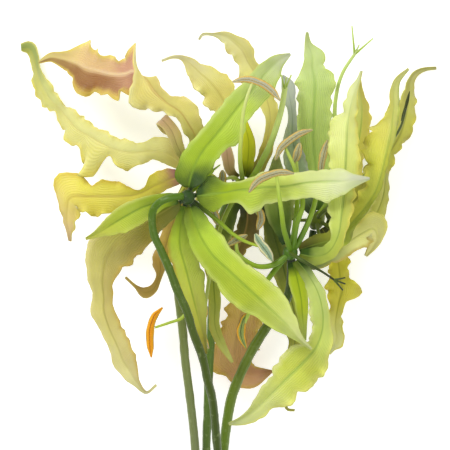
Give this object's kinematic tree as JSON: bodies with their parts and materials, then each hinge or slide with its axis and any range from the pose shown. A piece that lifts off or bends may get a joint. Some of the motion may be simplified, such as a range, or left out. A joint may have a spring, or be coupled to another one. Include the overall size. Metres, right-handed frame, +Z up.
{
  "type": "cut glory lily bunch",
  "caption": "Loose bunch of cut climbing-lily blooms with waved, swept-back tepals and long stamens on bare stems, laid on its back.",
  "frame": {"origin": "on the surface, under the middle of the bunch's bounding box", "axes": "+Z up from the surface it lies on, +Y from the cut stem ends to the upper tepal tips"},
  "size_m": [0.1684, 0.1946, 0.0754],
  "materials": {
    "tepal_lime": "satin petal, lime green fading to pale green, fine veins",
    "tepal_yellow": "satin petal, dull yellow with pink-brown inner faces",
    "tepal_pale_green": "satin petal, pale yellow-green with yellow margins",
    "heart_green": "fleshy green, anthers dusty olive and orange",
    "stem_green": "smooth fleshy green stem, lightly waxy"
  },
  "bodies": {
    "root": {"front_bloom_upper_tepal": "tepal_lime", "front_bloom_right_tepal": "tepal_lime", "front_bloom_lower_right_tepal": "tepal_lime", "front_bloom_lower_tepal": "tepal_lime", "front_bloom_lower_left_tepal": "tepal_lime", "front_bloom_left_tepal": "tepal_lime", "front_bloom_heart": "heart_green", "left_bloom_far_left_tepal": "tepal_yellow", "left_bloom_red_faced_tepal": "tepal_yellow", "left_bloom_left_tepal": "tepal_yellow", "left_bloom_upper_tepal": "tepal_yellow", "left_bloom_curled_tepal": "tepal_yellow", "left_bloom_hooked_tepal": "tepal_yellow", "left_bloom_heart": "heart_green", "right_bloom_upper_tepal": "tepal_pale_green", "right_bloom_far_right_tepal": "tepal_pale_green", "right_bloom_long_lower_tepal": "tepal_pale_green", "right_bloom_short_lower_tepal": "tepal_pale_green", "right_bloom_upper_left_tepal": "tepal_pale_green", "right_bloom_right_tepal": "tepal_pale_green", "right_bloom_heart": "heart_green", "middle_bloom_upper_tepal": "tepal_yellow", "middle_bloom_narrow_tepal": "tepal_yellow", "middle_bloom_lower_tepal": "tepal_yellow", "middle_bloom_red_lower_tepal": "tepal_yellow", "middle_bloom_lower_right_tepal": "tepal_yellow", "middle_bloom_hooked_tepal": "tepal_yellow", "middle_bloom_heart": "heart_green", "back_bloom_broad_tepal": "tepal_pale_green", "back_bloom_upper_right_tepal": "tepal_pale_green", "back_bloom_far_right_tepal": "tepal_pale_green", "back_bloom_upper_left_tepal": "tepal_pale_green", "back_bloom_right_tepal": "tepal_pale_green", "back_bloom_lower_tepal": "tepal_pale_green", "back_bloom_heart": "heart_green", "front_stem": "stem_green", "left_stem": "stem_green", "middle_stem": "stem_green", "right_stem": "stem_green"}
  },
  "joints": []
}
